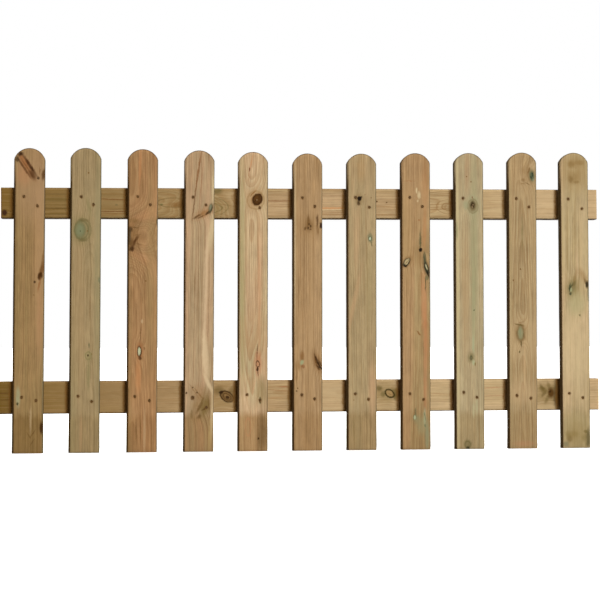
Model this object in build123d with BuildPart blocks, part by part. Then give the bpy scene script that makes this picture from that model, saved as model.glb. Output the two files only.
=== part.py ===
# Round-top picket fence panel, 1.8 m wide and 0.9 m tall.
# Eleven upright pales are nailed across the front of two rails.
# X runs along the panel, Y from the front to the back, and Z up.
# The origin is on the back face of the bottom rail, at mid-height, behind the middle pale.
import os
from math import cos, radians, sin

from build123d import *

# Pales, in millimetres. The insets run from a pale's foot and head to the middle of each rail.
PALE_PITCH = 165
PALE_WIDTH = 91
PALE_THICKNESS = 20
PALE_LENGTH = 900
PALE_ARRIS = 3
HEAD_RISE = 31
FOOT_INSET = 163
HEAD_INSET = 156

# How each pale was cut and nailed, from left to right:
# millimetres off its even spacing, degrees of lean to the right, and millimetres over length
AS_NAILED = [
    (-2.5, 0.35, 2),
    (-2.5, 0.35, 4),
    (1.5, 0.25, 2),
    (4.5, 0.3, 0),
    (1, 0.2, -3),
    (0.5, 0.15, -6),
    (0, 0.1, -5),
    (0, 0.1, -2),
    (0, 0, 0),
    (0, 0.1, 3),
    (-1.5, -0.15, 4),
]

# Rails, in millimetres. The tails run on past the end pales, to the posts.
BOTTOM_RAIL_HEIGHT = 97
TOP_RAIL_HEIGHT = 92
RAIL_THICKNESS = 38
RAIL_ARRIS = 3
BOTTOM_LEFT_TAIL = 45
BOTTOM_RIGHT_TAIL = 32
TOP_LEFT_TAIL = 40
TOP_RIGHT_TAIL = 30

# Degrees that the top rail was nailed out of level, rising to the right
TOP_RAIL_SLOPE = 0.2

# Places worked out from those sizes
rail_spacing = PALE_LENGTH - FOOT_INSET - HEAD_INSET
half_run = (len(AS_NAILED) - 1) * PALE_PITCH / 2
half_span = half_run + PALE_WIDTH / 2


def make_pale(name, off_centre, lean, length):
    """A board with rounded corners, square at the foot and sawn to an arc at the head."""
    across = Vector(cos(radians(lean)), 0, -sin(radians(lean)))
    along = Vector(sin(radians(lean)), 0, cos(radians(lean)))
    middle = Vector(off_centre, -RAIL_THICKNESS - PALE_THICKNESS / 2, rail_spacing / 2)
    foot = middle - along * (rail_spacing / 2 + FOOT_INSET)
    half_width = PALE_WIDTH / 2
    shoulder = length - HEAD_RISE
    with BuildPart() as pale:
        with BuildSketch(Plane(origin=foot, x_dir=across, z_dir=along)):
            RectangleRounded(PALE_WIDTH, PALE_THICKNESS, PALE_ARRIS)
        extrude(amount=length)
        with BuildSketch(Plane(origin=foot, x_dir=across, z_dir=(0, -1, 0))):
            with BuildLine():
                Polyline(
                    (-half_width, shoulder), (-half_width, 0), (half_width, 0), (half_width, shoulder)
                )
                ThreePointArc((half_width, shoulder), (0, length), (-half_width, shoulder))
            make_face()
        extrude(amount=PALE_THICKNESS / 2, both=True, mode=Mode.INTERSECT)
    pale.part.label = name
    return pale.part


def make_rail(name, centre_height, rail_height, left_tail, right_tail, slope):
    """A rail with rounded corners that runs on past the end pales to lap the posts."""
    along = Vector(cos(radians(slope)), 0, sin(radians(slope)))
    middle = Vector(0, -RAIL_THICKNESS / 2, centre_height)
    left_end = middle - along * (half_span + left_tail)
    with BuildPart() as rail:
        with BuildSketch(Plane(origin=left_end, x_dir=(0, 1, 0), z_dir=along)):
            RectangleRounded(RAIL_THICKNESS, rail_height, RAIL_ARRIS)
        extrude(amount=left_tail + 2 * half_span + right_tail)
    rail.part.label = name
    return rail.part


# Rails
pieces = [
    make_rail("bottom_rail", 0, BOTTOM_RAIL_HEIGHT, BOTTOM_LEFT_TAIL, BOTTOM_RIGHT_TAIL, 0),
    make_rail("top_rail", rail_spacing, TOP_RAIL_HEIGHT, TOP_LEFT_TAIL, TOP_RIGHT_TAIL, TOP_RAIL_SLOPE),
]

# Pales, from left to right
for number, (shift, lean, over_length) in enumerate(AS_NAILED):
    off_centre = number * PALE_PITCH - half_run + shift
    name = f"pale_{number + 1:02d}"
    pieces.append(make_pale(name, off_centre, lean, PALE_LENGTH + over_length))

os.makedirs("parts", exist_ok=True)
for piece in pieces:
    export_step(piece, f"parts/{piece.label}.step")
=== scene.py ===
# Round-top picket fence panel: the look of its boards and nails, and the studio around it.
# Places on a board are in millimetres: u across it from its middle, w into it from its front
# face, and v along it from its foot or left end. Lengths in the row frame are in metres.
from math import cos, pi, radians, sin
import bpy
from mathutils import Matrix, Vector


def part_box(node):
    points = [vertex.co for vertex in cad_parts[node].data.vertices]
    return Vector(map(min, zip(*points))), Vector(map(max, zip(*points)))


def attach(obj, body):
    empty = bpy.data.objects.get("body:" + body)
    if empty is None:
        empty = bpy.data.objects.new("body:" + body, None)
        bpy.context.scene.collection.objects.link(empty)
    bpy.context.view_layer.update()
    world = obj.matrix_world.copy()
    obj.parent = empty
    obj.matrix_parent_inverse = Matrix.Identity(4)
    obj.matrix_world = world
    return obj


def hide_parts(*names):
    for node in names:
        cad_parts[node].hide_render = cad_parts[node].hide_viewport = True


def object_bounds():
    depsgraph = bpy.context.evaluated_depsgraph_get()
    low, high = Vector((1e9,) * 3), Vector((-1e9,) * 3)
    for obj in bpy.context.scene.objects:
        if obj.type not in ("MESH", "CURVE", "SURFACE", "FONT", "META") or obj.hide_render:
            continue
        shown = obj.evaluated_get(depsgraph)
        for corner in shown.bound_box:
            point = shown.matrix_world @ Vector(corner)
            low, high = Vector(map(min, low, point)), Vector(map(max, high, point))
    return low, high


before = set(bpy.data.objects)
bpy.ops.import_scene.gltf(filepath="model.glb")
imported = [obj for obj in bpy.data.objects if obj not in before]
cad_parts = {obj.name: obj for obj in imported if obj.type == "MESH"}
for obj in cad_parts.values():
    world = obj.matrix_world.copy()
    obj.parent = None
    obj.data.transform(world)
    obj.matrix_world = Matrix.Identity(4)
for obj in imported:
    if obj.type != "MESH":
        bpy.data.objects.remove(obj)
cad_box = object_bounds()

from types import SimpleNamespace

import bpy
import numpy as np
from mathutils import Matrix, Vector

MM = 0.001

# Board shapes, in millimetres. A pale's mesh follows its head from HEAD_BEND below the shoulders.
PALE_WIDTH = 91
ARRIS = 3
SAWN_EDGE = 0.8
HEAD_RISE = 31
EASED_RISE = 42
HEAD_BEND = 30

# How deep the faces and arrises are worn, in millimetres
FACE_WEAR = 0.35
ARRIS_WEAR = 0.5

# Mesh steps, in millimetres: across and along a board, and close to a nail
STEP_ACROSS = 6
STEP_ALONG = 9
STEP_AT_NAIL = 0.8
NAIL_REACH = 6

# Nails, in millimetres
HEAD_RADIUS = 3.2
SHANK_RADIUS = 1.4
NAIL_LENGTH = 50
NAIL_DEPTH = 0.7
NAIL_SIDES = 20
HOLE_DEPTH = 1.5
HOLE_FLOOR = 3.4
HOLE_RIM = 4.8

# How far off level and off plumb the boards were nailed, in degrees
TOP_RAIL_SLOPE = 0.2
LEANS = (0.35, 0.35, 0.25, 0.3, 0.2, 0.15, 0.1, 0.1, 0, 0.1, -0.15)

# Where the rails' darker left part ends, and where the pales' darker feet start and are full, in
# millimetres
DARK_LEFT_REACH = 900
FOOT_TOP = 142
FOOT_FULL = 114

# Camera, fitted to the photograph's outlines: metres, degrees, and millimetres for the lens
CAMERA_PLACE = (-0.455, -4.458, 0.1807)
CAMERA_YAW = 5.62
CAMERA_PITCH = 1.403
CAMERA_ROLL = 0.14
CAMERA_LENS = 88.28
SENSOR_WIDTH = 36

# Colours, as red, green and blue from 0 to 255
PITCH = (22, 13, 4)
BARK = (50, 29, 8)
DARK = (80, 51, 20)
BROWN = (112, 80, 42)
RUST = (150, 98, 58)
PALE_TAN = (196, 170, 130)
CREAM = (208, 188, 146)
STRAW = (170, 142, 92)
OLIVE = (118, 100, 56)
MOSS = (74, 80, 52)
SAGE = (158, 164, 128)
NAIL_STAIN = (62, 38, 8)
LEFT_BROWN = (115, 87, 35)
FOOT_TINT = (222, 212, 192)
# Painted shade for the pales' left edges and the rails' bottom edges
SHADE = (48, 29, 3)
# Painted shadow of the pales on the rails, laid just left of each pale
PAINTED_SHADOW = (130, 90, 38)
GREY_EDGE = (116, 108, 80)
STEEL = (98, 66, 22)
TARNISH = (46, 28, 6)


def colour(shade):
    """A 0 to 255 display colour as the linear colour that a shader takes."""
    parts = [channel / 255 for channel in shade]
    linear = [p / 12.92 if p < 0.04045 else ((p + 0.055) / 1.055) ** 2.4 for p in parts]
    return (*linear, 1)


def darker(shade, factor):
    """The same colour with less light."""
    return tuple(channel * factor for channel in shade)


# Marks on the timber. The grain shows through a mark that is weaker than SOLID.
SOLID = 0.95
SPOT_DEPTH = 12
KNOT_DEPTH = 40


def spot(u, v, wide, tall, shade, strength=50, soft=60, turn=0, bend=0, rim=0, depth=SPOT_DEPTH):
    """An oval of colour with soft edges, or its outline alone, where it has a rim.

    strength, soft and rim are in percent. turn leans its top to the right, in degrees, and bend is
    how far it pushes the rings out.
    """
    return SimpleNamespace(
        u=u, v=v, wide=wide, tall=tall, shade=shade, strength=strength / 100, soft=soft / 100,
        turn=turn, bend=bend, rim=rim / 100, depth=depth,
    )


def knot(*look, **more):
    """A spot that runs through the board."""
    return spot(*look, **more, depth=KNOT_DEPTH)


def pin(u, v, radius=2.2, shade=BARK):
    """A pin knot."""
    return spot(u, v, radius, radius * 1.2, shade, 90, 40)


def band(u, v, wide, tall, shade, strength=50, turn=0):
    """A long soft stripe along the grain."""
    return spot(u, v, wide, tall, shade, strength, 70, turn)


def timber(
    tint, second, late, pith, tilt, *marks, ring=3.6, contrast=0.28, foot=0, dark_left=0, eased=0, nails=()
):
    """How one board looks: its two colours and the late wood's, where the tree's pith ran, its tilt,
    the marks with the top one last, and the rings' width in millimetres and strength.

    foot, eased and the left part's darkening are from 0 to 1: a darker foot, a softer head and a darker
    left part.
    """
    return SimpleNamespace(
        tint=tint, second=second, late=late, pith=pith, tilt=tilt, marks=list(marks), ring=ring,
        contrast=contrast, foot=foot, dark_left=dark_left, eased=eased, nails=nails,
    )


# The boards, with the pales from left to right

PALE_01 = timber(
    (149, 119, 79), (142, 118, 77), (112, 84, 46), (-90, 50), (0.01, 0.02),
    band(32, 560, 15, 280, (172, 136, 98), 45), band(34, 390, 9, 90, (170, 126, 88), 40),
    spot(10, 800, 60, 110, (164, 132, 98)),
    spot(-16, 824, 20, 30, (174, 122, 82), 45, 70),
    spot(-8, 848, 12, 46, (134, 92, 56), 70, 40, -31, bend=5),
    spot(-15, 860, 6, 26, (152, 98, 56), 70, 60, -31),
    spot(1, 850, 4.2, 34, (64, 36, 12), 90, 60, -34),
    spot(-18, 846, 3, 36, (86, 54, 26), 85, 60, -33),
    spot(-6, 842, 1.8, 32, (104, 68, 36), 70, 50, -33),
    spot(9, 823, 7, 15, (78, 48, 22), 85, 70, -30),
    spot(-4, 858, 4, 8, (72, 44, 20), 80, 60, -10),
    spot(8, 840, 3.4, 7, (60, 36, 14), 85, 60, -20),
    spot(-26, 884, 8, 6, BARK, 95, 60, -31),
    spot(-36, 868, 5, 7, BARK, 85, 50, -20),
    pin(25.6, 813, 3.6),
    spot(30, 835, 1.6, 11, BROWN, 70, 40),
    spot(42, 825, 5.5, 17, DARK, 90, 50, 8),
    spot(42, 574, 4, 32, (116, 84, 46), 75, 50, 8),
    spot(38, 541, 6.5, 22, (104, 68, 30), 85, 50, 16, bend=3),
    spot(33.5, 523, 7.2, 11.5, (60, 32, 2), 95, 35, 10),
    spot(31, 498, 3, 20, (134, 90, 50), 70, 60, 12),
    pin(18, 505, 3.3), pin(15, 467, 1.8, BROWN),
    spot(-28, 166, 6, 27, SAGE, 55),
    pin(-30, 146, 3.8, (52, 48, 24)),
    spot(9, 100, 2.6, 36, PALE_TAN, 40),
    spot(15, 58, 1.6, 14, DARK, 55, 50, 32),
    spot(4, 52, 1.6, 11, DARK, 45, 50, -32),
    spot(14, 32, 1.6, 12, DARK, 45, 50, 34),
    spot(40.5, 75, 5, 17, (56, 32, 4), 95, 40, bend=4),
    foot=0.75, eased=0.4, nails=((-16, 758), (23.5, 730), (-18, 165), (24, 155)),
)

PALE_02 = timber(
    (152, 131, 95), (147, 131, 94), (118, 98, 60), (12, 34), (0, 0.02),
    band(-18, 430, 16, 260, (166, 137, 97), 35), band(36, 560, 9, 330, (140, 132, 96)),
    band(15, 430, 1.6, 34, BROWN),
    spot(42, 512, 3, 9, (96, 104, 78), 60),
    spot(10, 727, 6, 25, (122, 114, 74), 45, 70, -12),
    knot(-12, 660, 29, 42, (116, 108, 66), 50, 50, bend=13),
    knot(-8, 660, 24, 32, (108, 98, 60), 55, 30, rim=10),
    knot(-11, 660, 19.5, 27, (94, 92, 56), 60, 30, rim=12),
    knot(-14, 659, 15, 23, (94, 94, 60), 75, 30),
    knot(-15.5, 660, 12, 19, (124, 128, 94), 80),
    spot(-15, 656, 1.8, 2.2, MOSS, 85, 40),
    spot(6, 656, 1.6, 2.2, BROWN, 80, 40),
    spot(-4, 689, 12, 4, (100, 86, 50), 50, 70, 5),
    spot(-8, 629, 12, 4, (100, 88, 52), 50, 70, -3),
    pin(8, 829, 2.2, BROWN),
    knot(11, 287, 11, 14, (140, 130, 86), 55, 50, bend=5),
    knot(11, 287, 8.4, 10.5, (92, 88, 48), 30, 40, rim=20),
    pin(10.5, 287, 3), pin(20.5, 292, 1.8, OLIVE),
    spot(13, 318, 1.8, 9, MOSS, 75, 40),
    band(12, 232, 5, 44, (116, 112, 70), 45), band(-9, 60, 4, 50, (176, 138, 98), 40),
    foot=0.35, nails=((-13, 758), (23, 735), (-18.5, 167), (21.5, 151)),
)

PALE_03 = timber(
    (165, 125, 85), (156, 124, 85), (118, 82, 46), (-28, 60), (0, 0.02),
    band(26, 500, 13, 260, (146, 124, 80), 40),
    spot(-8, 846, 4, 50, (186, 130, 84), 60, 60, 2),
    band(-1, 800, 1.6, 60, BROWN, 40, -4),
    knot(-34, 642, 26, 44, (118, 84, 44), 55, 70, bend=30),
    knot(6, 636, 24, 50, BROWN, 0, 50, bend=34),
    spot(-24, 688, 15, 7, (112, 86, 46), 50, 70, 12),
    spot(-22, 668, 9, 2, DARK, 50, 60, 14),
    spot(-14, 646, 9, 1.6, DARK, 45, 60, -8),
    spot(-8, 618, 12, 1.6, DARK, 40, 60, 10),
    spot(-38, 662, 8, 9, BARK, 80, 50),
    knot(-41, 641, 6, 24, (60, 52, 40), 90, 40),
    spot(-18, 634, 3.6, 12, (84, 52, 22), 85, 50, 35),
    spot(-25, 620, 3.4, 12, (76, 46, 18), 80, 50, 20),
    spot(-32, 604, 7, 8, (62, 36, 12), 95, 50, 20),
    spot(-34, 622, 6, 14, DARK, 70, 60, 12),
    spot(44, 684, 2.6, 13, (60, 62, 40), 80, 40),
    spot(8, 580, 15, 2, (178, 140, 102), 40, 60, 30),
    pin(10, 509, 2.4, BROWN),
    spot(1.5, 454, 1.4, 12, BROWN),
    spot(0, 389, 3, 6, PALE_TAN),
    spot(-5, 350, 1.8, 24, DARK, 60, 60, 3),
    knot(-7, 301, 12, 26, RUST, 55, 40, bend=8),
    knot(-8, 298, 7, 17, (62, 36, 16), 95, 25),
    spot(-8.5, 299, 3.8, 12, (176, 178, 142), 100, 30),
    spot(-6, 279, 5, 5, BARK, 90, 50),
    spot(6.5, 308, 2, 5, DARK, 60, 40),
    spot(-11, 228, 8, 48, (186, 128, 80), 55),
    band(8, 60, 4, 60, PALE_TAN, 35), band(-16, 66, 2, 40, DARK),
    band(-3, 66, 1.6, 30, DARK, 40), band(-38, 200, 7, 400, OLIVE, 30),
    foot=0.4, contrast=0.42, nails=((-15, 759.5), (22.5, 736), (-21, 165), (22, 152.5)),
)

PALE_04 = timber(
    (177, 146, 112), (169, 147, 113), (130, 96, 60), (-130, 40), (0.02, 0),
    band(35, 650, 8, 50, CREAM, 60, 8),
    spot(18.5, 460, 6, 190, (202, 176, 140), 75, 35, 1.5),
    band(33, 480, 3, 150, (192, 162, 126), 40, 1), band(13, 400, 1.6, 150, BROWN, 35, 2),
    band(29, 400, 1.4, 170, BROWN, 40, 1),
    spot(20, 286, 9, 72, (206, 182, 144), 80, 45, -3),
    spot(29.5, 202, 5.5, 32, (204, 180, 142), 80, 50, -25),
    spot(40.5, 118, 4.5, 66, (198, 176, 138), 70, 50, 2),
    band(35, 50, 5, 56, STRAW, 60, 4), band(41, 790, 3.5, 46, CREAM, 60),
    spot(-3.5, 835, 2.6, 62, (128, 86, 50), 85, 50, 7.9),
    spot(-15.5, 738, 2, 52, (104, 72, 42), 80, 50, 5.8),
    band(6, 800, 1.6, 70, (140, 98, 64), 50, 5), band(-2, 460, 3, 90, BROWN, 35, 1),
    band(-13, 500, 2, 30, BROWN),
    knot(14, 712, 13, 34, (150, 106, 62), 45, 60, 60, bend=10),
    spot(16, 711, 7.5, 19, (142, 100, 54), 70, 60, 60),
    spot(-6, 702, 3.4, 13, DARK, 80, 50, 58),
    spot(4, 700, 1.6, 12, BARK, 70, 50, 62),
    spot(27, 714, 3.4, 11, BARK, 90, 45, 52),
    knot(34, 727, 6, 14, (74, 70, 44), 90, 50, 15),
    knot(33, 729, 3.4, 8.6, (122, 124, 98), 90, 50, 15),
    knot(36, 722, 1.4, 12, (56, 56, 40), 80, 50, 24),
    knot(10, 138, 26, 42, (124, 98, 54), 65, 60, 25, bend=16),
    knot(20, 134, 13, 26, (112, 90, 44), 70, 60, 14, bend=10),
    spot(3, 132, 4, 18, (96, 68, 30), 75, 60, 30),
    spot(10, 150, 2, 16, (104, 76, 36), 60, 60, 34),
    spot(17, 127, 3, 9, (84, 58, 24), 80, 60, 54),
    spot(2, 104, 5, 7, (90, 64, 28), 70, 60, 40),
    spot(-20, 112, 3, 14, (104, 78, 40)),
    spot(31, 140, 2.4, 24, (100, 76, 38), 60, 60, -4),
    spot(-2, 178, 24, 22, (138, 106, 68), 45),
    band(2, 172, 2, 22, (120, 88, 48), 60, -40),
    band(-14, 182, 1.8, 24, (120, 88, 48), 50, -34),
    pin(-36, 175, 2.4), pin(-4.6, 176, 2.2), pin(-16.5, 191, 1.8), pin(-17, 160, 5, (40, 14, 8)),
    foot=1, ring=4.2, nails=((-19, 759), (20, 736), (-17, 160), (23.5, 131)),
)

PALE_05 = timber(
    (192, 163, 127), (183, 164, 126), (150, 110, 70), (-2, 60), (0, -0.03),
    band(-32, 520, 9, 300, (150, 146, 98)), band(20, 480, 5, 200, (196, 150, 110), 55),
    band(28, 520, 1.8, 170, (150, 112, 74)), band(13, 470, 1.4, 150, (152, 112, 74), 40),
    spot(-5, 866, 2.2, 26, (190, 138, 94), 70, 60, 13),
    spot(-10.5, 844, 1.5, 8, (104, 54, 28), 95, 40, 8),
    spot(-12.5, 822, 1.3, 14, RUST, 60, 40),
    knot(9, 757, 24, 31, (168, 134, 90), 50, 50, 12, bend=12),
    knot(8, 752, 25, 27, (138, 108, 62), 45, 30, 20, rim=9),
    spot(-3, 770, 1.6, 8, (126, 84, 40), 80, 50, 40),
    spot(3, 775, 1.6, 7, (134, 90, 46), 70, 50, 62),
    knot(12.5, 754, 16.6, 20.4, (120, 80, 36), 85, 20, 22),
    knot(13, 754, 15, 18.6, (50, 27, 6), 100, 12, 22),
    knot(13, 755, 10.5, 13.5, (92, 60, 24), 90, 50, 22),
    knot(8, 750, 2, 8, (58, 33, 10), 80, 50, 40),
    knot(18, 760, 2, 9, (60, 35, 12), 80, 50),
    knot(15, 747, 2, 7, (62, 36, 12), 70, 50, -40),
    spot(11.5, 752, 1.8, 2.2, (160, 130, 94), 60),
    band(-6, 350, 1.8, 40, (150, 108, 70), 50, 12),
    spot(0, 350, 60, 60, (172, 138, 98), 35),
    spot(13, 292, 1.4, 26, BARK, 85, 50, 3),
    knot(16, 262, 11, 34, (176, 112, 74), 55, 50, bend=6),
    spot(15.4, 260, 5.5, 8.5, (176, 130, 92), 90, 30),
    spot(15.4, 260, 5.6, 9, BARK, 85, 30, rim=22),
    spot(14, 245, 3, 6, BARK, 95, 40),
    spot(15.5, 234, 1.4, 9, BARK, 75, 50, -8),
    band(5, 198, 1.6, 30, (200, 156, 120), 50, 12),
    spot(27, 176, 15, 40, (120, 108, 64), 55),
    spot(22.6, 152, 3, 10, (60, 62, 30), 85, 40),
    spot(28, 56, 17, 62, (84, 62, 30), 65),
    spot(-13, 72, 8, 26, (176, 126, 86), 50, 50, bend=4, rim=14),
    pin(17.5, 38, 3),
    foot=1, ring=4.4, contrast=0.5, nails=((20, 728.5), (-17, 168.5), (22, 152)),
)

PALE_06 = timber(
    (164, 133, 94), (170, 140, 102), (130, 96, 56), (75, 60), (0.01, 0.01),
    band(-38, 640, 3, 240, CREAM), band(-12, 600, 4, 200, BROWN, 20),
    band(12, 460, 7, 280, (178, 146, 104), 40),
    spot(4, 672, 40, 34, (132, 100, 58), 30, 70),
    knot(5, 677, 10, 17, (108, 74, 32), 65, 70, bend=6),
    spot(3, 693, 3.4, 15, (94, 62, 24), 65),
    spot(-7, 667, 3.4, 6, DARK, 70, 60, 30),
    spot(2, 668, 2.6, 4, BARK, 90, 50),
    spot(10, 674, 2.2, 5, BARK, 85, 50),
    spot(5, 681, 2.2, 3.6, BARK, 80, 50),
    spot(9, 664, 3, 2.4, DARK, 80, 50),
    spot(30, 692, 3.2, 17, (78, 50, 24), 85, 50),
    spot(31, 664, 4, 16, BROWN, 60, 60, -6),
    knot(41.5, 676, 5, 9, (44, 22, 6), 100, 40, bend=5),
    spot(-16, 283, 6, 16, (124, 84, 42), 75, 50),
    knot(-26, 254, 10, 14, (132, 96, 54), bend=5),
    spot(-16.5, 264.5, 4.6, 8, (152, 158, 118), 90, 50, 22),
    spot(-13, 252, 5, 5, (126, 78, 44), 70, 50),
    knot(31, 264, 12, 32, (116, 78, 36), 65, 70, -20, bend=7),
    spot(26, 268, 3, 16, (92, 58, 24), 80, 60, -14),
    spot(32, 249, 3, 9, (76, 46, 18), 85, 60, -40),
    spot(38, 262, 2.2, 10, (70, 44, 18), 80, 60, -30),
    spot(29, 270, 2.6, 20, BARK, 90, 50, -22),
    spot(36, 256, 2.6, 14, BARK, 90, 50, -34),
    spot(39, 248, 2.2, 10, PITCH, 90, 50, -55),
    band(-33, 222, 2.4, 24, BROWN, 60),
    pin(-32.7, 179, 2.4), pin(-30, 187, 1.8, DARK),
    foot=0.45, eased=0.4, nails=((-15.5, 759.5), (22, 734), (-17, 167), (21.5, 154.5)),
)

PALE_07 = timber(
    (170, 145, 108), (164, 144, 107), (132, 104, 64), (-85, 60), (-0.02, 0.01),
    band(-13, 650, 7, 90, (186, 152, 112), 50, 2),
    band(-24, 440, 6, 110, (186, 148, 108), 45, 12), band(22, 480, 10, 140, (150, 134, 92), 40),
    band(-2, 850, 14, 40, (176, 138, 92), 40), band(33, 184, 10, 66, (192, 154, 116), 60),
    knot(-8, 757, 13, 16, (128, 100, 60), bend=6),
    spot(-7, 758, 6.8, 7.4, (20, 11, 3), 100, 35),
    spot(-1, 763, 4, 2.6, PITCH, 90, 40),
    knot(-9, 745, 5, 7, BARK, 85, 50, bend=6),
    knot(26.5, 640, 8, 14, (96, 104, 76), 70, 40, -8, bend=5),
    spot(26, 638, 5.2, 6, (70, 78, 58), 90, 30),
    spot(26, 638, 3.2, 4, (184, 194, 160), 90, 40),
    spot(30, 622, 1.6, 8, (84, 84, 54), 80, 50, -12),
    pin(11, 770, 1.4, BROWN), pin(30, 762, 1.4, BROWN), pin(-25, 150, 1.5, BROWN),
    band(-24, 60, 2, 40, OLIVE, 40),
    foot=0.6, nails=((-18, 761.5), (23.5, 732), (-20, 169), (20.5, 152.5)),
)

PALE_08 = timber(
    (168, 136, 97), (160, 136, 95), (128, 92, 52), (30, 85), (0, 0.015),
    band(26, 450, 8.5, 84, (190, 130, 88), 60), band(31, 350, 7, 80, (180, 120, 78), 50, -2),
    band(29, 220, 5.5, 110, (182, 124, 84)), band(30, 800, 9, 70, (172, 124, 78), 40),
    band(27, 660, 6, 60, (176, 120, 72), 50, 2), band(-26, 640, 14, 160, STRAW, 30),
    band(2, 480, 6, 130, (180, 156, 112)),
    spot(4, 785, 2.6, 9, CREAM, 80, 40),
    spot(11, 770, 5, 10, CREAM, 75, 50),
    spot(7, 753, 3, 4, CREAM, 60, 50),
    spot(-20, 813, 16, 1.3, RUST),
    pin(10.7, 694, 2.6, RUST),
    spot(10, 588, 24, 34, (138, 110, 68), 40),
    band(14.5, 632, 2.8, 26, (78, 80, 52), 85),
    knot(15.5, 604, 5, 6.5, PITCH, 100, 40, bend=5),
    knot(-27, 567, 11, 20, (118, 84, 44), 60, 50, 38, bend=8),
    knot(-27.6, 566, 8.4, 15.6, (40, 38, 24), 95, 25, 38),
    spot(-27, 568, 5, 10.6, (184, 164, 120), 95, 40, 38),
    spot(-26, 568, 1, 9, (90, 70, 40), 90, 50, 42),
    spot(-31, 556, 5, 4, PITCH, 90, 50, 38),
    spot(30, 582, 2.6, 18, (84, 82, 54), 85, 50, -10),
    knot(33, 549, 9.5, 30, (92, 76, 44), 70, 50, -16, bend=8),
    spot(28, 573, 2.8, 20, (74, 76, 54), 90, 50, -12),
    knot(34, 547, 6.4, 20, (36, 40, 28), 95, 35, -16),
    spot(35, 519, 4.4, 7, (92, 94, 66), 75),
    spot(33.5, 552, 2.2, 9, (180, 170, 130), 100, 40, -16),
    spot(38, 530, 2.4, 10, PITCH, 90, 50, -16),
    spot(30.5, 502, 1.6, 22, (76, 76, 46), 85, 50),
    spot(9.4, 351.7, 2.4, 9, (126, 86, 46), 85, 50, -38),
    spot(-2, 112, 1.8, 12, MOSS, 75, 50),
    spot(-3, 97, 5.5, 8, (80, 84, 56), 70, 40),
    spot(-3, 97, 3.4, 6.5, (176, 180, 142), 100, 40),
    band(27, 96, 3.6, 24, SAGE, 85),
    spot(27.5, 100, 1.4, 12, MOSS, 80, 50, -10),
    spot(28, 72, 2.4, 4.5, (60, 64, 40), 90, 40),
    band(18, 74, 14, 26, (142, 138, 100), 55),
    spot(2, 92, 8, 12, (134, 134, 98), 50, 70),
    band(34, 40, 6, 44, (132, 138, 106), 65),
    foot=0.35, ring=4.6, nails=((-17.5, 763), (21, 735.5), (-18.5, 168), (23.5, 151)),
)

PALE_09 = timber(
    (172, 153, 117), (168, 153, 119), (146, 120, 82), (95, 60), (0, 0),
    spot(-36, 440, 6, 470, (196, 180, 136), 70, 40),
    band(16, 620, 11, 250, (150, 148, 110), 60), band(13, 420, 5, 130, (152, 150, 112)),
    band(-5, 850, 7, 60, (174, 136, 98), 40), band(-12, 480, 11, 190, (172, 140, 98)),
    knot(12, 741, 22, 29, (156, 154, 118), 50, 40, bend=11),
    knot(12.5, 739, 13, 18, (112, 90, 54), 80, 50),
    knot(12.5, 738, 16, 21, (120, 104, 66), 45, 30, rim=10),
    knot(12, 741, 7, 11, (54, 42, 22), 95, 50),
    spot(13.5, 742, 2, 2.6, (132, 108, 76), 80, 50),
    spot(10.5, 735, 2.2, 3.6, (152, 124, 88), 70, 40),
    spot(-10, 741, 8, 12, (150, 152, 116)),
    pin(7.3, 812, 2.2, BROWN), pin(-6, 828, 1.8, BROWN), pin(11.6, 764, 2.6, (124, 92, 66)),
    spot(-38, 664, 4, 26, (126, 128, 92), 60),
    pin(15, 421, 2, MOSS),
    band(11.6, 318, 3, 22, SAGE, 70),
    knot(5, 277, 10, 16, (116, 106, 66), 65, 50, bend=6),
    spot(4.8, 277, 4.4, 7.5, (74, 70, 46), 90, 50),
    spot(5, 276, 1.6, 3, (122, 116, 82), 70, 40),
    spot(12, 262, 4.5, 8, (166, 168, 130), 85, 50),
    spot(17.5, 257, 2, 5, OLIVE, 85, 50),
    spot(12, 118, 3.4, 24, (182, 178, 138)),
    spot(21, 130, 4, 24, (176, 174, 134), 40),
    knot(-7, 14, 12, 14, (112, 100, 64), 75, 40, bend=8),
    knot(-7, 14, 8, 10, (92, 84, 50), 50, 50, rim=20),
    spot(-6.5, 4, 5, 4.5, (52, 50, 30), 85, 40),
    foot=0.6, ring=5, contrast=0.25, nails=((-18, 761.5), (-18.5, 171), (22, 156)),
)

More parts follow.
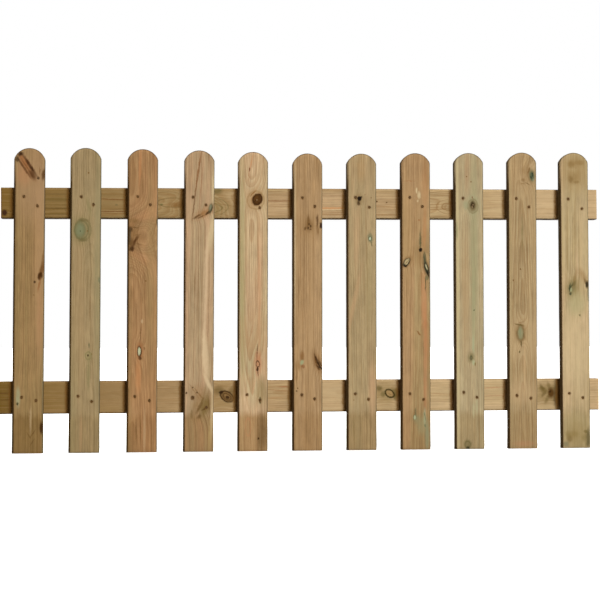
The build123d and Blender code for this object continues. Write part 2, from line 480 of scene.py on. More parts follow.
PALE_10 = timber(
    (173, 146, 106), (167, 145, 107), (130, 98, 58), (0, 20), (0, 0.026),
    band(-38, 500, 4, 380, (180, 160, 116)),
    knot(20, 843, 16, 30, (148, 116, 74), 45, 50, -12, bend=14),
    spot(31, 862, 8, 12, (186, 160, 120), 60),
    knot(31, 832, 9.5, 19, (112, 106, 72), 80, 40, -6),
    spot(31.5, 830, 6, 13, (70, 84, 60), 85, 40, -4),
    spot(33, 836, 1.8, 7, (40, 50, 36), 90, 50, 10),
    spot(29, 826, 1.8, 6, (44, 54, 38), 85, 50, -24),
    spot(35, 820, 2.4, 4, (134, 138, 108), 70, 40),
    spot(22, 848, 2.4, 9, BROWN, 70, 50, 24),
    spot(17, 808, 1.6, 9, (104, 78, 42), 75, 50, -62),
    spot(4, 819, 6, 5, (130, 100, 60), 65),
    spot(3, 808, 7, 2, (126, 96, 56)),
    spot(5, 848, 5, 10, (144, 114, 72), 40, 70),
    band(0, 655, 2.4, 50, (112, 104, 62)),
    pin(-5.4, 546, 2.4, BROWN), pin(-28, 512, 2, BROWN),
    spot(0, 330, 60, 70, (194, 166, 124), 35),
    knot(-6, 350, 20, 31, (140, 112, 70), 45, 50, bend=10),
    knot(-6, 350, 13.5, 25, (104, 80, 42), 90, 40),
    spot(-6.3, 351, 8, 18.5, (144, 141, 105), 90, 45),
    spot(5, 342, 2, 9, (96, 78, 42), 70, 50, -14),
    spot(-8, 352, 2.4, 12, (120, 128, 96), 50, 40),
    spot(-10, 376, 14, 2.8, (100, 80, 42), 80, 50, 12),
    spot(-4, 384, 8, 1.8, BROWN, 60, 50, -14),
    spot(-4, 318, 2.4, 9, (82, 68, 36), 85, 40),
    pin(-10, 295, 2.6, (90, 78, 44)),
    band(6, 250, 2.6, 80, (190, 158, 116), 60),
    spot(0, 172, 40, 34, (190, 160, 120), 40),
    band(4, 14, 30, 8, (170, 120, 88), 40),
    foot=0.4, ring=3.8, contrast=0.45, nails=((-18, 762), (21, 736), (-18.5, 161), (25, 152.5)),
)

PALE_11 = timber(
    (182, 157, 120), (174, 156, 117), (148, 122, 76), (20, 100), (0, 0.015),
    spot(4, 872, 20, 12, (130, 100, 54), 70, 90),
    spot(-1, 827, 14, 17, (124, 98, 54), 70, 70),
    spot(0, 50, 60, 62, (152, 144, 102), 35, 40),
    spot(14, 838, 8, 22, (140, 112, 66), 50, 80),
    spot(0, 850, 42, 60, (158, 130, 84)),
    spot(0, 300, 60, 110, (206, 184, 142)),
    spot(-8, 868, 9, 9, (128, 100, 54)),
    spot(20, 874, 12, 7, (134, 106, 60)),
    spot(-9, 822, 7, 10, (118, 92, 50)),
    spot(9, 814, 8, 4, (124, 96, 52)),
    band(-35, 640, 4, 120, (196, 176, 130)), band(-24, 640, 3.4, 120, (146, 122, 78), 45),
    band(4, 650, 3.4, 110, (146, 122, 78), 40), band(20, 620, 5, 110, (194, 168, 124), 45),
    band(8, 560, 3.6, 60, (200, 170, 132)),
    knot(-6, 490, 22, 32, (132, 116, 70), 60, 50, 10, bend=9),
    knot(-10, 489, 11, 20, (110, 104, 66), 75, 60, 14),
    spot(-2, 502, 4, 9, (84, 84, 50), 70, 60, 30),
    spot(-15, 490, 2.4, 12, (52, 58, 36), 90, 50, 6),
    spot(-9, 496, 2.2, 9, (62, 68, 42), 85, 50, 30),
    spot(-11, 483, 3, 5, (158, 160, 120), 90, 50, 14),
    spot(-13.5, 472, 4, 4.4, (42, 46, 28), 95, 40),
    spot(0.5, 516, 5, 28, (134, 106, 62), 50, 70, 12),
    spot(26, 526, 9, 22, (146, 112, 68), 55, 70, -24),
    spot(33, 510, 3.4, 9, (106, 80, 38), 70, 60, -16),
    knot(39, 499, 5, 12, (44, 34, 18), 95, 50, bend=8),
    spot(42, 470, 2, 22, (92, 92, 66), 70, 40),
    spot(6, 440, 28, 34, (168, 162, 118)),
    pin(15, 405, 2.6, (104, 92, 58)),
    band(10, 260, 3, 120, (196, 176, 132), 40),
    spot(-20, 28, 9, 10, (104, 82, 40), 65),
    spot(-8, 42, 15, 10, (128, 106, 58), 45),
    spot(-26, 44, 7, 9, (118, 98, 54), 45),
    spot(26, 30, 7, 12, (108, 96, 56)),
    spot(36, 12, 7, 9, (96, 88, 54), 55),
    spot(-32, 12, 9, 9, (120, 116, 88), 70, 50),
    spot(38, 32, 6, 26, (74, 68, 42), 80, 50),
    spot(30, 50, 6, 5, (100, 86, 48), 70, 50),
    spot(4, 40, 34, 40, (134, 110, 58), 35),
    foot=0.4, ring=5, contrast=0.3, nails=((-18, 761.5), (25, 732), (-20, 166.5), (22, 153)),
)

PALES = (
    PALE_01, PALE_02, PALE_03, PALE_04, PALE_05, PALE_06,
    PALE_07, PALE_08, PALE_09, PALE_10, PALE_11,
)

TOP_RAIL = timber(
    (182, 154, 116), (176, 152, 111), (140, 104, 62), (5, 70), (0, 0.008),
    spot(29, 11, 9, 8, (54, 30, 14), 95, 40, bend=6),
    band(-26, 176, 3, 60, (100, 76, 36), 45), band(-10, 170, 6, 60, (100, 82, 40)),
    band(6, 172, 2.4, 60, (104, 80, 38)), band(16, 170, 2.2, 60, (84, 62, 26), 70),
    band(33, 170, 2.6, 60, (96, 74, 34), 60),
    spot(-11, 336, 1.3, 50, (112, 72, 36), 85, 60, 2),
    spot(25, 336, 1.5, 50, (104, 62, 30), 80),
    spot(31, 336, 1.3, 50, (112, 74, 38), 60),
    spot(5, 340, 2, 4, MOSS, 70),
    band(10, 330, 6, 50, (126, 98, 56), 40), band(-24, 336, 4, 50, (118, 92, 50), 40),
    band(18, 346, 1.6, 30, (104, 76, 38)),
    knot(4, 474, 3.4, 4, (92, 92, 54), 85, 50, bend=4),
    knot(6, 528, 9, 26, (122, 84, 38), 70, bend=6),
    knot(-2, 508, 14, 46, (112, 90, 50), 60, 40, rim=8),
    knot(-38, 640, 10, 16, (86, 80, 40), 60),
    knot(12, 606, 26, 58, (120, 102, 54), 35, bend=30),
    knot(14, 610, 15, 46, (100, 88, 46), 50, 50, rim=6),
    knot(10, 608, 30, 66, (104, 90, 48), 40, 50, rim=4),
    spot(-9, 828, 1.5, 60, (128, 88, 54), 75),
    spot(-5, 828, 1.3, 60, (136, 98, 62)),
    spot(13.5, 990, 2.6, 60, (190, 130, 78), 70, 60, -1),
    spot(18, 990, 1.6, 60, CREAM, 60),
    spot(0, 1660, 70, 230, (204, 178, 136)),
    pin(-7, 1125, 2.4, DARK), pin(-4, 1155, 2, DARK),
    band(8, 1150, 1.5, 50, (150, 114, 72), 60, 3), band(34, 1150, 2, 60, (140, 104, 62), 60),
    knot(8, 1350, 12, 24, (132, 98, 58), 75, 50, bend=8, rim=8),
    knot(8, 1350, 22, 40, (136, 104, 64), 50, 50, rim=5),
    band(-12, 1480, 2, 60, (160, 124, 82), 40), band(14, 1650, 2, 60, (164, 130, 86), 40),
    ring=3.4, contrast=0.45, dark_left=1,
)

BOTTOM_RAIL = timber(
    (184, 155, 117), (178, 152, 111), (148, 112, 70), (-10, 65), (0, -0.008),
    band(-14, 20, 1.8, 40, (76, 44, 16), 60), band(6, 20, 1.6, 40, (80, 50, 20), 60),
    spot(0, 20, 70, 40, (80, 58, 22), 30),
    knot(-6, 662, 40, 52, (128, 102, 58), bend=18),
    spot(-18, 650, 12, 14, (98, 78, 38), 60),
    spot(-14, 690, 14, 10, (100, 78, 38)),
    knot(0, 674, 16, 24, (54, 33, 8), 100, 16, 34),
    knot(0.5, 675, 11.5, 18.5, (138, 106, 64), 100, 25, 34),
    knot(1, 675, 8, 13, (78, 54, 24), 85, 40, 34, rim=25),
    knot(3, 676, 4.5, 6, (54, 34, 12), 95, 50, 34),
    spot(-13, 657, 4.5, 6, (46, 28, 8), 95, 50),
    spot(0, 1500, 70, 340, (198, 180, 138), 30, 50),
    spot(0, 990, 70, 60, (196, 170, 130), 50, 50),
    band(-28, 848, 2, 16, (150, 88, 52), 70), band(-18, 825, 1.6, 40, (150, 108, 70), 60, 5),
    band(4, 830, 1.6, 40, (160, 120, 80), 50, -4),
    knot(-8, 1156, 30, 36, (124, 104, 56), 60, bend=12),
    spot(-22, 1136, 7, 9, (92, 78, 38), 75),
    spot(-4, 1148, 8, 7, (98, 84, 42), 70),
    spot(4, 1186, 10, 6, (104, 88, 44), 70),
    spot(-8, 1187, 15, 15, (104, 84, 38), 75),
    knot(-6, 1168, 12.5, 17, (50, 42, 10), 100, 16, 36),
    spot(-6, 1168, 8, 12, (158, 128, 82), 100, 25, 36),
    spot(-4, 1170, 1.4, 6, (120, 94, 54), 70, 50, 20),
    band(-4, 1325, 1.8, 36, (152, 116, 72), 50, 3),
    band(-22, 1490, 2, 40, (168, 116, 76), 50, -3), band(2, 1500, 2, 40, (170, 122, 84), 40),
    knot(-4, 1654, 36, 42, (124, 102, 54), 65, bend=20),
    # Painted shadow: this spot and the dark strip at v 1686 deepen pale 11's shadow on the rail
    spot(-8, 1690, 46, 16, (84, 66, 26), 70),
    spot(-14, 1644, 8, 13, (108, 88, 42), 70, 60, 40),
    spot(-22, 1640, 4, 12, (92, 74, 34), 60, 70, 60),
    spot(-2, 1646, 4, 13, (96, 76, 36), 60, 70, -50),
    spot(14, 1656, 5, 14, (104, 84, 42), 60, 70, -66),
    spot(-24, 1662, 5, 14, (104, 84, 42), 55, 70, 70),
    knot(-5, 1668, 16, 10, (84, 56, 20), 100, 50),
    spot(-9, 1666, 4, 3, (52, 32, 8), 90, 40),
    # Painted shadow of pale 11 on the rail, darkest at its edge
    spot(2, 1686, 40, 9, (64, 46, 18), 70, 50),
    contrast=0.35, dark_left=1,
)


# Board places

def axes(across, along, start):
    """The matrix with these two board axes, the third one straight back, and this start."""
    turned = Matrix((across, Vector((0, 1, 0)), along)).transposed().to_4x4()
    return Matrix.Translation(start) @ turned @ Matrix.Scale(MM, 4)


def pale_place(node, lean):
    """The matrix from a pale's (u, w, v) to the row frame, with its length and thickness."""
    low, high = (Vector(corner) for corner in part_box(node))
    turn = radians(lean)
    half_width = PALE_WIDTH * MM / 2
    reach = half_width * cos(turn)
    foot_x = low.x + reach if lean >= 0 else high.x - reach
    foot_z = low.z + half_width * abs(sin(turn))
    across = Vector((cos(turn), 0, -sin(turn)))
    along = Vector((sin(turn), 0, cos(turn)))
    length = (high.z - foot_z) / cos(turn) / MM
    thickness = (high.y - low.y) / MM
    return axes(across, along, Vector((foot_x, low.y, foot_z))), length, thickness


def rail_place(node, slope):
    """The same for a rail, with its height: v runs from its left end, and u points down."""
    low, high = (Vector(corner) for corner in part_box(node))
    turn = radians(slope)
    spread = high - low
    length = (spread.x * cos(turn) - spread.z * sin(turn)) / cos(2 * turn)
    height = (spread.z * cos(turn) - spread.x * sin(turn)) / cos(2 * turn)
    along = Vector((cos(turn), 0, sin(turn)))
    down = Vector((sin(turn), 0, -cos(turn)))
    start = (low + high) / 2 - along * length / 2
    start.y = low.y
    return axes(down, along, start), length / MM, spread.y / MM, height / MM


# Board meshes

def places(start, end, step, nails):
    """Places from start to end a step apart, and close together around each nail."""
    coarse = np.linspace(start, end, max(2, round((end - start) / step) + 1))
    kept = [p for p in coarse[1:-1] if all(abs(p - nail) > NAIL_REACH + STEP_AT_NAIL for nail in nails)]
    near = []
    for nail in nails:
        first = round((nail - NAIL_REACH) / STEP_AT_NAIL)
        last = round((nail + NAIL_REACH) / STEP_AT_NAIL)
        near += [n * STEP_AT_NAIL for n in range(first, last + 1)]
    margin = STEP_AT_NAIL / 2
    inner = [p for p in sorted(set(kept + near)) if start + margin < p < end - margin]
    return np.array([start, *inner, end])


def outline(width, thickness, across, corner_points=5, side_points=3):
    """The section, once around from its front left: its u, w and ways in, and how many points make up
    a face and a side."""
    half = width / 2
    turns = np.radians(np.linspace(0, 90, corner_points))
    left_u = -half + ARRIS * (1 - np.cos(turns[:-1]))
    corner_w = ARRIS * (1 - np.sin(turns[:-1]))
    face_u = np.concatenate([left_u, across, -left_u[::-1]])
    front = np.concatenate([corner_w, np.zeros(len(across)), corner_w[::-1]])
    side_w = np.linspace(ARRIS, thickness - ARRIS, side_points + 2)[1:-1]
    side_u = np.full(side_points, half)
    u = np.concatenate([face_u, side_u, face_u[::-1], -side_u])
    w = np.concatenate([front, side_w, (thickness - front)[::-1], side_w[::-1]])
    core_u = np.clip(u, ARRIS - half, half - ARRIS)
    core_w = np.clip(w, ARRIS, thickness - ARRIS)
    inward = np.stack([core_u - u, core_w - w], axis=1)
    inward /= np.linalg.norm(inward, axis=1)[:, None]
    return u, w, inward, len(face_u), side_points


def head_drop(u, half, eased):
    """How far a head is below its top, at each u: an arc, or a softer oval where it is eased."""
    radius = (half**2 + HEAD_RISE**2) / (2 * HEAD_RISE)
    arc = radius - np.sqrt(radius**2 - u**2)
    oval = EASED_RISE * (1 - np.sqrt(np.maximum(0, 1 - (u / half) ** 2)))
    return (1 - eased) * arc + eased * oval


def waves(u, v, seed):
    """Smooth unevenness between 0 and 1, from a few sines with a seeded phase."""
    draw = np.random.default_rng(seed)
    total = 0
    for size in (310, 170, 83, 47):
        phase = draw.uniform(0, 2 * pi, 2)
        total += np.sin(2 * pi * v / size + phase[0] + 1.5 * np.sin(u / 31 + phase[1]))
    return 0.5 + total / 8


def board_points(u, w, inward, rings, size, wood, seed, headed):
    """The points of each ring around the board, worn a little, and sunk at the nails."""
    width, thickness, length = size
    half = width / 2
    drop = head_drop(u, half, wood.eased) if headed else np.zeros(len(u))
    bend_from = length - HEAD_RISE - HEAD_BEND
    on_front = inward[:, 1] > 0.99
    on_arris = np.abs(inward).min(axis=1) > 0.1
    points = []
    for along, shrink in rings:
        ring_u = u * (1 - shrink / half)
        ring_w = thickness / 2 + (w - thickness / 2) * (1 - 2 * shrink / thickness)
        share = max(0, (along - bend_from) / (length - bend_from)) if headed else 0
        ring_v = along - drop * share
        sink = FACE_WEAR * waves(ring_u, ring_v, seed)
        sink += ARRIS_WEAR * on_arris * waves(3 * ring_u, 4 * ring_v, seed + 50)
        for nail_u, nail_v in wood.nails:
            away = np.hypot(ring_u - nail_u, ring_v - nail_v)
            hole = np.clip((HOLE_RIM - away) / (HOLE_RIM - HOLE_FLOOR), 0, 1)
            sink = np.where(on_front, np.maximum(sink, HOLE_DEPTH * hole**2 * (3 - 2 * hole)), sink)
        ring_u += inward[:, 0] * sink
        ring_w += inward[:, 1] * sink
        points.append(np.stack([ring_u, ring_w, ring_v], axis=1))
    return np.concatenate(points)


def tube_faces(start, last, count):
    """Quads from ring to ring of a tube. start and last are its end rings' first points."""
    faces = []
    for base in range(start, last, count):
        for n in range(count):
            m = (n + 1) % count
            faces.append((base + n, base + m, base + count + m, base + count + n))
    return faces


def board_faces(columns, side_points, rings):
    """Quads around the board, and strips across both ends."""
    count = 2 * (columns + side_points)
    last = (rings - 1) * count
    faces = tube_faces(0, last, count)
    back = 2 * columns + side_points - 1
    for n in range(columns - 1):
        loop = [n, n + 1]
        if n == columns - 2:
            loop += range(columns, columns + side_points)
        loop += [back - n - 1, back - n]
        if n == 0:
            loop += range(count - side_points, count)
        faces.append(tuple(reversed(loop)))
        faces.append(tuple(last + i for i in loop))
    return faces


def board_mesh(name, place, size, wood, seed, headed):
    """A closed board: rings of points along it, joined by quads, with strips across both ends."""
    width, thickness, length = size
    edge_u = width / 2 - ARRIS
    across = places(-edge_u, edge_u, STEP_ACROSS, [u for u, v in wood.nails])
    along = places(SAWN_EDGE, length - SAWN_EDGE, STEP_ALONG, [v for u, v in wood.nails])
    u, w, inward, columns, side_points = outline(width, thickness, across)
    blunt = 0.3 * SAWN_EDGE
    rings = [(0, SAWN_EDGE), (blunt, blunt), *((step, 0) for step in along)]
    rings += [(length - blunt, blunt), (length, SAWN_EDGE)]
    points = board_points(u, w, inward, rings, size, wood, seed, headed)
    return mesh_object(name, place, points, board_faces(columns, side_points, len(rings)))


def mesh_object(name, place, points, faces, sharp=30):
    """A mesh object, placed in the row frame and smooth except across sharp edges."""
    mesh = bpy.data.meshes.new(name)
    placed = [place @ Vector(point) for point in points.tolist()]
    mesh.from_pydata(placed, [], faces)
    mesh.shade_smooth()
    mesh.set_sharp_from_angle(angle=radians(sharp))
    piece = bpy.data.objects.new(name, mesh)
    bpy.context.scene.collection.objects.link(piece)
    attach(piece, "root")
    return piece


def nails_mesh(name, place, nails, seed):
    """The nails of one pale: flat heads just below the face, with shanks into the rail."""
    draw = np.random.default_rng(seed)
    top = NAIL_DEPTH
    profile = [
        (0.01, top),
        (0.75 * HEAD_RADIUS, top + 0.02),
        (HEAD_RADIUS, top + 0.25),
        (HEAD_RADIUS, top + 0.7),
        (SHANK_RADIUS, top + 1.1),
        (SHANK_RADIUS, top + NAIL_LENGTH - 4),
        (0.01, top + NAIL_LENGTH),
    ]
    points = []
    faces = []
    for u, v in nails:
        lean_u, lean_v = draw.uniform(-0.05, 0.05, 2)
        start = len(points)
        for radius, deep in profile:
            for side in range(NAIL_SIDES):
                turn = 2 * pi * side / NAIL_SIDES
                out_u, out_v = radius * cos(turn), radius * sin(turn)
                tilt = lean_u * out_u + lean_v * out_v
                points.append((u + out_u - lean_u * deep, deep + tilt, v + out_v - lean_v * deep))
        last = len(points) - NAIL_SIDES
        faces += tube_faces(start, last, NAIL_SIDES)
        faces.append(tuple(reversed(range(start, start + NAIL_SIDES))))
        faces.append(tuple(range(last, last + NAIL_SIDES)))
    return mesh_object(name, place, np.array(points), faces, sharp=40)


# Materials

class Nodes:
    """Adds nodes to a node tree. Each call returns the new node's output."""

    def __init__(self, tree):
        self.nodes = tree.nodes
        self.links = tree.links

    def node(self, kind, inputs, output=0, **settings):
        made = self.nodes.new(kind)
        for setting, value in settings.items():
            setattr(made, setting, value)
        for socket, value in inputs.items():
            self.feed(made.inputs[socket], value)
        return made.outputs[output]

    def feed(self, socket, value):
        if isinstance(value, bpy.types.NodeSocket):
            self.links.new(value, socket)
        else:
            socket.default_value = value

    def math(self, operation, *values):
        return self.node("ShaderNodeMath", dict(enumerate(values)), operation=operation)

    def times(self, first, second):
        return self.math("MULTIPLY", first, second)

    def vector(self, operation, *values, output=0):
        return self.node("ShaderNodeVectorMath", dict(enumerate(values)), output, operation=operation)

    def mapped(self, vector, place, turn, scale):
        inputs = {"Vector": vector, "Location": place, "Rotation": turn, "Scale": scale}
        return self.node("ShaderNodeMapping", inputs, vector_type="TEXTURE")

    def noise(self, vector, scale, detail=2, rough=0.5, output=0):
        stretched = self.vector("MULTIPLY", vector, scale)
        inputs = {"Vector": stretched, "Scale": 1, "Detail": detail, "Roughness": rough}
        return self.node("ShaderNodeTexNoise", inputs, output)

    def ramp(self, value, low, high, to_low=0, to_high=1, soft=True):
        inputs = {0: value, 1: low, 2: high, 3: to_low, 4: to_high}
        kind = "SMOOTHSTEP" if soft else "LINEAR"
        return self.node("ShaderNodeMapRange", inputs, interpolation_type=kind)

    def mix(self, share, first, second, blend="MIX"):
        inputs = {0: share, 6: first, 7: second}
        return self.node("ShaderNodeMix", inputs, 2, data_type="RGBA", blend_type=blend)

    def seen_directly(self):
        """1 for rays from the camera, or a glossy or clear surface, and 0 for all others."""
        path = self.node("ShaderNodeLightPath", {}).node.outputs
        seen = self.math("MAXIMUM", path["Is Camera Ray"], path["Is Glossy Ray"])
        return self.math("MAXIMUM", seen, path["Is Transmission Ray"])


class Surface(Nodes):
    """A material, as the nodes in front of its shader."""

    def __init__(self, name):
        self.material = bpy.data.materials.new(name)
        self.material.use_nodes = True
        super().__init__(self.material.node_tree)

    def wear(self, looks):
        """Feeds the shader's inputs."""
        for name, value in looks.items():
            self.feed(self.nodes["Principled BSDF"].inputs[name], value)


class Timber(Surface):
    """Softwood: growth rings about the tree's pith, pushed out by the knots, and fibres along them.

    shade is the colour so far, and each step lays more over it.
    """

    def __init__(self, name, place, size, wood, seed, headed):
        super().__init__(name)
        self.wood = wood
        self.seed = seed
        self.headed = headed
        self.half_width = size[0] / 2
        self.length = size[2]
        self.turned = place.to_3x3().normalized()
        coordinates = self.node("ShaderNodeTexCoord", {}, 3)
        self.facing = self.node("ShaderNodeTexCoord", {}, 1)
        self.point = self.mapped(coordinates, place.translation, place.to_euler(), place.to_scale())
        self.u, self.w, self.v = self.node("ShaderNodeSeparateXYZ", {0: self.point}).node.outputs
        self.shifted = self.vector("ADD", self.point, (37 * seed, 11 * seed, 211 * seed))
        self.patches = self.noise(self.shifted, (0.11, 0.11, 0.07), output=1)
        ragged = self.noise(self.shifted, (0.4, 0.4, 0.2), output=1)
        bent = self.vector("ADD", self.point, self.wobble(self.patches, (3, 0, 6)))
        self.bent = self.vector("ADD", bent, self.wobble(ragged, (3.4, 0, 5)))
        self.place_marks()
        self.lay_grain()
        self.darken_in_parts()
        self.paint_marks()
        self.darken_edges()
        self.finish()

    def wobble(self, noise, reach):
        """A noise's colour as an uneven shift, with this reach along u, w and v."""
        centred = self.vector("SUBTRACT", noise, (0.5, 0.5, 0.5))
        return self.vector("MULTIPLY", centred, reach)

    def cover(self, share, shade, blend="MIX"):
        """Lays a share of a colour over the timber."""
        self.shade = self.mix(share, self.shade, colour(shade), blend)

    def oval(self, mark):
        """How much of a mark's colour shows, and how far off its middle is, in its own sizes."""
        place = (mark.u, 0, mark.v)
        scale = (mark.wide, mark.depth, mark.tall)
        near = self.mapped(self.bent, place, (0, radians(mark.turn), 0), scale)
        away = self.vector("LENGTH", near, output=1)
        if mark.rim:
            off_line = self.math("ABSOLUTE", self.math("SUBTRACT", away, 1))
            share = self.ramp(off_line, 1.6 * mark.rim, 0.4 * mark.rim)
        else:
            share = self.ramp(away, 1 + mark.soft, 1 - mark.soft)
        return self.times(share, mark.strength), away

    def place_marks(self):
        """How much each mark shows, and how far they push the rings out."""
        self.shares = []
        self.swell = 0
        for mark in self.wood.marks:
            share, away = self.oval(mark)
            self.shares.append(share)
            if mark.bend:
                nearness = self.math("EXPONENT", self.times(self.times(away, away), -0.45))
                self.swell = self.math("MULTIPLY_ADD", nearness, mark.bend, self.swell)

    def lay_grain(self):
        """Rings, fibres and flecks, in the wood's own colours."""
        wood = self.wood
        slow = self.noise(self.shifted, (0.012, 0.012, 0.003))
        lean_u = self.math("MULTIPLY_ADD", self.v, -wood.tilt[0], self.u)
        lean_w = self.math("MULTIPLY_ADD", self.v, -wood.tilt[1], self.w)
        from_u = self.math("SUBTRACT", lean_u, wood.pith[0])
        from_w = self.math("SUBTRACT", lean_w, wood.pith[1])
        squares = self.math("ADD", self.times(from_u, from_u), self.times(from_w, from_w))
        radius = self.math("MULTIPLY_ADD", slow, 7, self.math("SQRT", squares))
        radius = self.math("ADD", radius, self.swell)
        straight = self.math("MULTIPLY_ADD", self.swell, 0.7, self.math("MULTIPLY_ADD", slow, 14, self.u))

        metres = self.times(self.v, MM)
        about_pith = self.node("ShaderNodeCombineXYZ", {0: radius, 1: metres, 2: self.seed * 3.7})
        along_board = self.node("ShaderNodeCombineXYZ", {0: straight, 1: metres, 2: self.w})
        self.fibres = self.noise(along_board, (1.3, 22, 0.6), 4, 0.6)
        self.lines = self.noise(along_board, (0.3, 2.6, 0.2), 3, 0.6)
        self.mottle = self.noise(self.shifted, (0.05, 0.05, 0.02), 4, 0.6)
        flecks = self.noise(along_board, (0.9, 40, 0.6))
        bands = self.noise(about_pith, (0.13, 2.2, 1), 3, 0.55)
        broad = self.noise(about_pith, (0.045, 1.3, 1))

        turns = self.math("MULTIPLY_ADD", bands, 3, self.math("DIVIDE", radius, wood.ring))
        ring = self.math("FRACT", turns)
        self.late = self.times(self.ramp(ring, 0.1, 0.85), self.ramp(ring, 1, 0.88))
        strength = self.ramp(broad, 0.3, 0.65, 0.3 * wood.contrast, wood.contrast)
        self.shade = self.mix(self.ramp(broad, 0.35, 0.65), colour(wood.tint), colour(wood.second))
        self.cover(self.times(self.late, strength), wood.late)
        self.cover(self.ramp(self.lines, 0.52, 0.28, 0, 0.7), wood.late)

        light = self.ramp(self.lines, 0.45, 0.8, 1, 1.2, soft=False)
        light = self.times(light, self.ramp(bands, 0.25, 0.75, 0.93, 1.07, soft=False))
        light = self.times(light, self.ramp(self.fibres, 0.3, 0.7, 0.8, 1.2, soft=False))
        light = self.times(light, self.ramp(self.mottle, 0.3, 0.7, 0.9, 1.1, soft=False))
        inputs = {"Vector": self.shade, "Scale": light}
        self.shade = self.node("ShaderNodeVectorMath", inputs, operation="SCALE")
        self.cover(self.ramp(flecks, 0.64, 0.76, 0, 0.4), wood.late)

    def darken_in_parts(self):
        """A darker left part, a darker foot, and a greyer right edge on a pale."""
        if self.wood.dark_left:
            dark_left = self.ramp(self.v, 0, DARK_LEFT_REACH, self.wood.dark_left, 0, soft=False)
            self.cover(self.times(dark_left, self.ramp(self.lines, 0.3, 0.55, 0.6, 1)), LEFT_BROWN)
        if self.wood.foot:
            uneven = self.math("MULTIPLY_ADD", self.mottle, 36, self.v)
            self.cover(self.ramp(uneven, FOOT_TOP, FOOT_FULL, 0, self.wood.foot), FOOT_TINT, "MULTIPLY")
        if self.headed:
            self.cover(self.ramp(self.u, self.half_width - 5, self.half_width - 2, 0, 0.6), GREY_EDGE)

    def paint_marks(self):
        """The marks in their order, then the stains around the nails."""
        patchy = self.node("ShaderNodeSeparateXYZ", {0: self.patches})
        grainy = self.ramp(self.fibres, 0.2, 0.55, 0.88, 1)
        grainy = self.times(grainy, self.ramp(patchy, 0.38, 0.56, 0.86, 1))
        for mark, share in zip(self.wood.marks, self.shares):
            if mark.strength < SOLID:
                share = self.times(share, grainy)
            self.cover(share, mark.shade)
        for u, v in self.wood.nails:
            self.cover(self.oval(spot(u, v, 5.4, 6.4, BROWN, 45, 50))[0], BROWN)
            self.cover(self.oval(spot(u, v, 3.6, 4.2, NAIL_STAIN, 95, 30))[0], NAIL_STAIN)

    def darken_edges(self):
        """Painted shade on the arrises, the shady edge and the head's rim, and darker sawn ends."""
        half = self.half_width
        # Painted shade along both arrises of every board
        arris_shade = darker(self.wood.late, 0.5)
        self.cover(self.ramp(self.math("ABSOLUTE", self.u), half - 3, half - 0.5, 0, 0.7), arris_shade)

        # Painted shade on the edge away from the key light: each pale's left edge, fading at the head, and
        # each rail's bottom edge, with less on the side face itself
        shady_way = -1 if self.headed else 1
        toward = self.times(self.u, shady_way)
        if self.headed:
            shady = self.ramp(toward, half - 7.4, half - 4, 0, 0.95)
            shady = self.times(shady, self.ramp(self.v, 850, 790, 0.35, 1))
        else:
            shady = self.ramp(toward, half - 4, half - 1, 0, 0.5)
        side = self.vector("DOT_PRODUCT", self.facing, self.turned @ Vector((shady_way, 0, 0)), output=1)
        self.cover(self.times(shady, self.ramp(side, 0.7, 0.95, 1, 0.2)), SHADE)

        # Painted shade round the rim of the pale's rounded head
        if self.headed:
            radius = (half**2 + HEAD_RISE**2) / (2 * HEAD_RISE)
            from_centre = self.vector("SUBTRACT", self.point, (0, 0, self.length - radius))
            from_centre = self.vector("MULTIPLY", from_centre, (1, 0, 1))
            rim = self.ramp(self.vector("LENGTH", from_centre, output=1), radius - 3.4, radius - 1, 0, 0.85)
            shoulder = self.length - HEAD_RISE
            self.cover(self.times(rim, self.ramp(self.v, shoulder - 6, shoulder + 4)), arris_shade)

        end = self.vector("DOT_PRODUCT", self.facing, self.turned @ Vector((0, 0, 1)), output=1)
        end = self.ramp(self.math("ABSOLUTE", end), 0.2, 0.35, 0, 0.45)
        self.cover(end, darker(self.wood.late, 0.9))

    def finish(self):
        """The colour, with a dull grainy surface."""
        height = self.math("MULTIPLY_ADD", self.late, 0.5, self.fibres)
        normal = self.node("ShaderNodeBump", {"Strength": 0.5, "Distance": 0.0003, "Height": height})
        rough = self.ramp(self.fibres, 0.3, 0.7, 0.62, 0.82)
        looks = {"Base Color": self.shade, "Roughness": rough, "Normal": normal, "Specular IOR Level": 0.06}
        self.wear(looks)


def nail_material():
    """Zinc-coated steel, dulled to brown by the preservative."""
    steel = Surface("nail_steel")
    blotches = steel.noise(steel.node("ShaderNodeTexCoord", {}, 3), (900, 900, 900), 3)
    tarnished = steel.mix(steel.ramp(blotches, 0.35, 0.65), colour(STEEL), colour(TARNISH))
    rough = steel.ramp(blotches, 0.3, 0.7, 0.45, 0.7)
    steel.wear({"Base Color": tarnished, "Roughness": rough, "Metallic": 0.15, "Specular IOR Level": 0.2})
    return steel.material


# Pieces

def make_board(node, place, size, wood, seed, headed):
    """A timber board in place of the frame's own."""
    name = f"{node}_timber"
    board = board_mesh(name, place, size, wood, seed, headed)
    board.data.materials.append(Timber(name, place, size, wood, seed, headed).material)
    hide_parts(node)


def make_pales():
    """The eleven pales and their nails."""
    steel = nail_material()
    for number, (wood, lean) in enumerate(zip(PALES, LEANS), start=1):
        node = f"pale_{number:02d}"
        place, length, thickness = pale_place(node, lean)
        size = (PALE_WIDTH, thickness, length)
        make_board(node, place, size, wood, number, headed=True)
        nails = nails_mesh(f"nails_{number:02d}", place, wood.nails, number)
        nails.data.materials.append(steel)


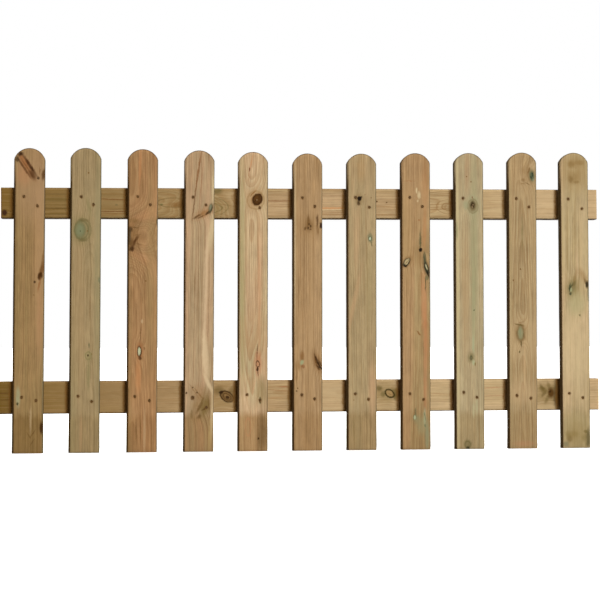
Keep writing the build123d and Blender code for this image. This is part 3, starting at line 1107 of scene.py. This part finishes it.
def painted_shadow_strips(place, wide=70, tall=7, reach=5):
    """The painted shadow strips on a rail, just left of each pale, where each pale's shadow falls."""
    for number, lean in enumerate(LEANS, start=1):
        at_pale = pale_place(f"pale_{number:02d}", lean)[0]
        crossing = (place.translation.z - at_pale.translation.z) / MM
        edge = at_pale @ Vector((-PALE_WIDTH / 2, 0, crossing))
        v = (edge.x - place.translation.x) / MM - reach
        yield spot(0, v, wide, tall, PAINTED_SHADOW, 85, 50)


def make_rails():
    """The two rails behind the pales."""
    rails = (("top_rail", TOP_RAIL, TOP_RAIL_SLOPE), ("bottom_rail", BOTTOM_RAIL, 0))
    for seed, (node, wood, slope) in enumerate(rails, start=20):
        place, length, thickness, height = rail_place(node, slope)
        # Each pale's shadow on this rail is painted in as a dark strip
        wood.marks += painted_shadow_strips(place)
        make_board(node, place, (height, thickness, length), wood, seed, headed=False)


# Studio

def make_floor(height, reach=40):
    """A pale floor at the pales' feet, white to the camera, with the object's shadow on it."""
    mesh = bpy.data.meshes.new("floor")
    ways = ((-1, -1), (1, -1), (1, 1), (-1, 1))
    mesh.from_pydata([(x * reach, y * reach, height) for x, y in ways], [], [(0, 1, 2, 3)])
    floor = bpy.data.objects.new("floor", mesh)
    bpy.context.scene.collection.objects.link(floor)
    paint = Surface("floor")
    seen = paint.seen_directly()
    shade = paint.mix(seen, (0.12, 0.12, 0.12, 1), (0.9, 0.9, 0.9, 1))
    paint.wear({"Base Color": shade, "Roughness": 1, "Specular IOR Level": 0})
    paint.wear({"Emission Color": (1, 1, 1, 1), "Emission Strength": paint.times(seen, 0.45)})
    mesh.materials.append(paint.material)


def make_world(fill=(0.115, 0.077, 0.034, 1)):
    """A white backdrop that gives only a soft warm fill light."""
    world = bpy.data.worlds.new("studio")
    world.use_nodes = True
    bpy.context.scene.world = world
    sky = Nodes(world.node_tree)
    sky.feed(sky.nodes["Background"].inputs["Color"], sky.mix(sky.seen_directly(), fill, (1, 1, 1, 1)))


def make_sun(name, azimuth, elevation, level, width):
    """A broad soft lamp. azimuth is to the right of the panel's front, and level is in units of pi."""
    light = bpy.data.lights.new(name, "SUN")
    light.energy = level * pi
    light.angle = radians(width)
    lamp = bpy.data.objects.new(name, light)
    turn, up = radians(azimuth), radians(elevation)
    source = Vector((sin(turn) * cos(up), -cos(turn) * cos(up), sin(up)))
    lamp.rotation_euler = source.to_track_quat("Z", "Y").to_euler()
    bpy.context.scene.collection.objects.link(lamp)


def make_camera():
    """The photograph's viewpoint."""
    lens = bpy.data.cameras.new("camera")
    lens.sensor_width = SENSOR_WIDTH
    lens.lens = CAMERA_LENS
    camera = bpy.data.objects.new("camera", lens)
    yaw = Matrix.Rotation(radians(-CAMERA_YAW), 4, "Z")
    pitch = Matrix.Rotation(radians(90 + CAMERA_PITCH), 4, "X")
    roll = Matrix.Rotation(radians(-CAMERA_ROLL), 4, "Z")
    camera.matrix_world = Matrix.Translation(CAMERA_PLACE) @ (yaw @ pitch @ roll)
    bpy.context.scene.collection.objects.link(camera)
    bpy.context.scene.camera = camera


make_pales()
make_rails()
make_floor(cad_box[0][2] - MM / 2)
make_world()
make_sun("key", azimuth=28, elevation=38, level=1.36, width=30)
make_sun("back", azimuth=155, elevation=50, level=1.05, width=40)
make_camera()
bpy.context.scene.view_settings.view_transform = "Standard"
